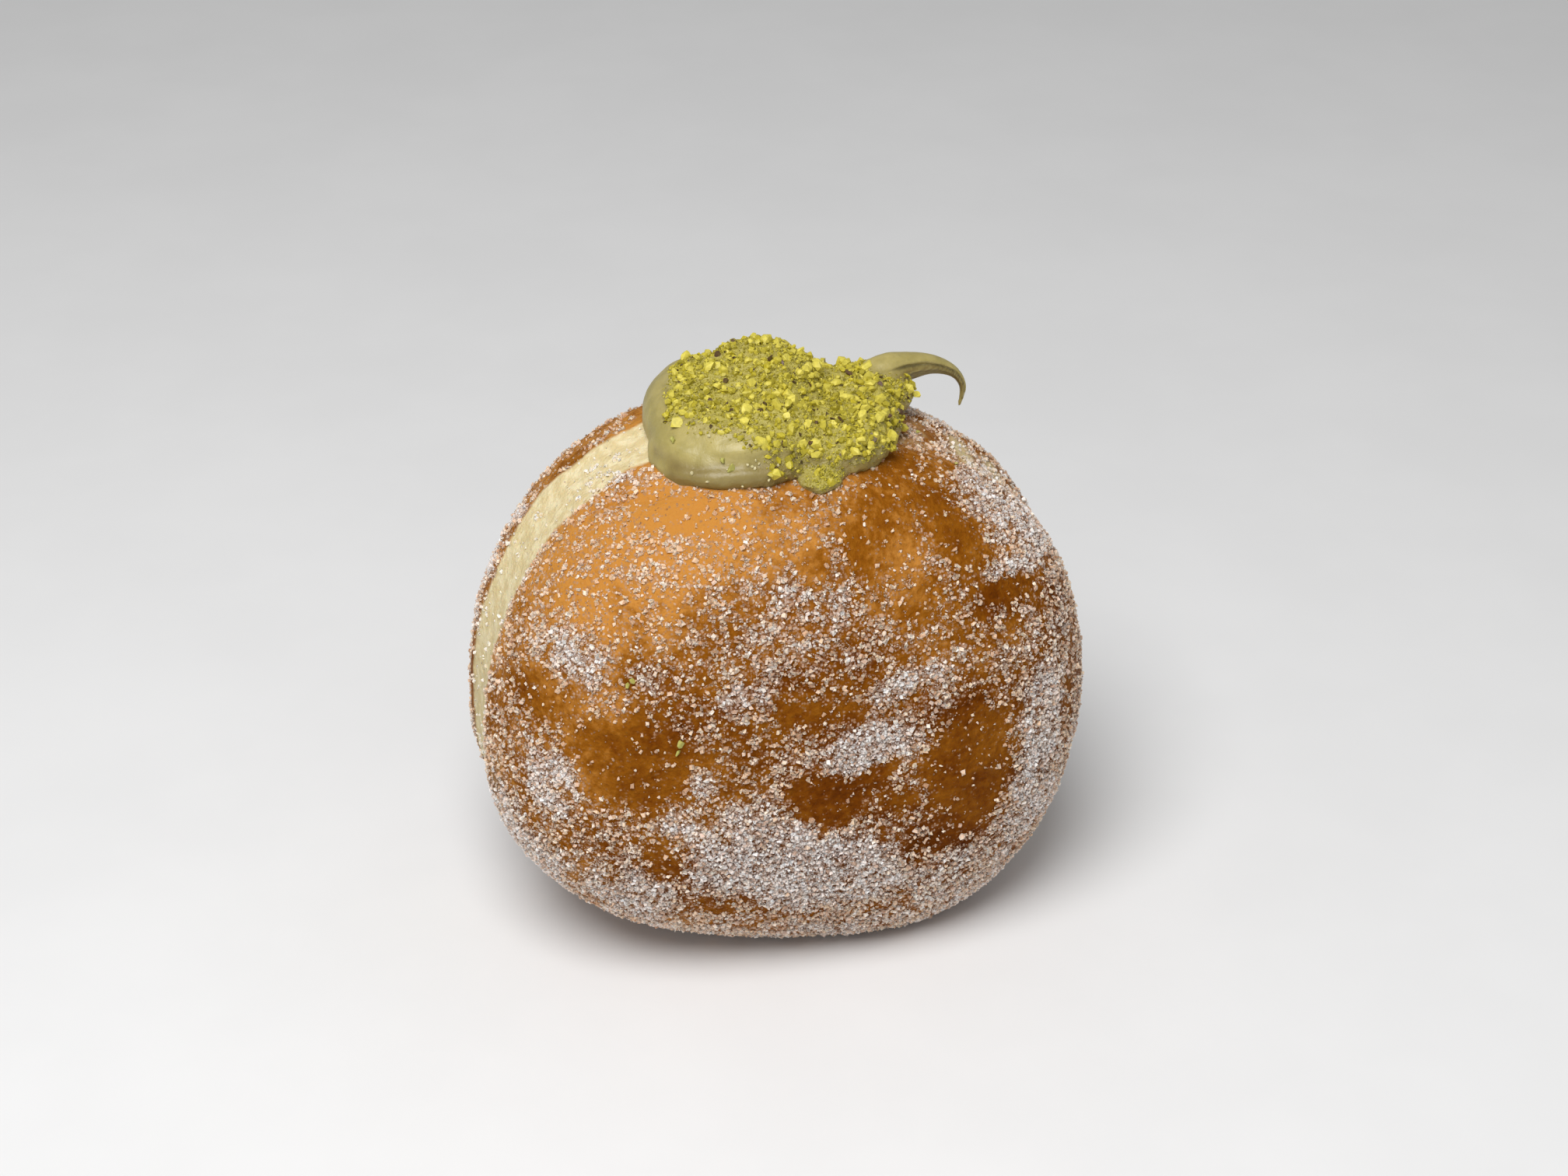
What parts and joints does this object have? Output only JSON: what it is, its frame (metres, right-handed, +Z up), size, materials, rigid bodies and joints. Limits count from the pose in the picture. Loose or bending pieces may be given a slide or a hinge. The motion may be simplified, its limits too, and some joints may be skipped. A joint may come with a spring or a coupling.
{
  "type": "pistachio doughnut",
  "caption": "Round filled doughnut standing on its rim, rolled in sugar, with pistachio cream piped on top, a curled tail of cream and chopped nuts.",
  "frame": {"origin": "on the flat foot of the rim, right below the middle of the round", "axes": "+Z up; Y along the axis of the round, with the broad face that the picture shows towards -Y; the cream's tail points to +X"},
  "size_m": [0.0875, 0.0594, 0.0862],
  "materials": {
    "crust": "fried crust, amber to brown, pale band round the rim, satin with a dusting of sugar",
    "cream": "soft pistachio cream, grey-green, satin",
    "nuts": "chopped pistachio, yellow-green, matte",
    "sugar": "sugar grains, white, slightly glossy"
  },
  "bodies": {
    "root": {"dough": "crust", "cream": "cream"}
  },
  "joints": []
}
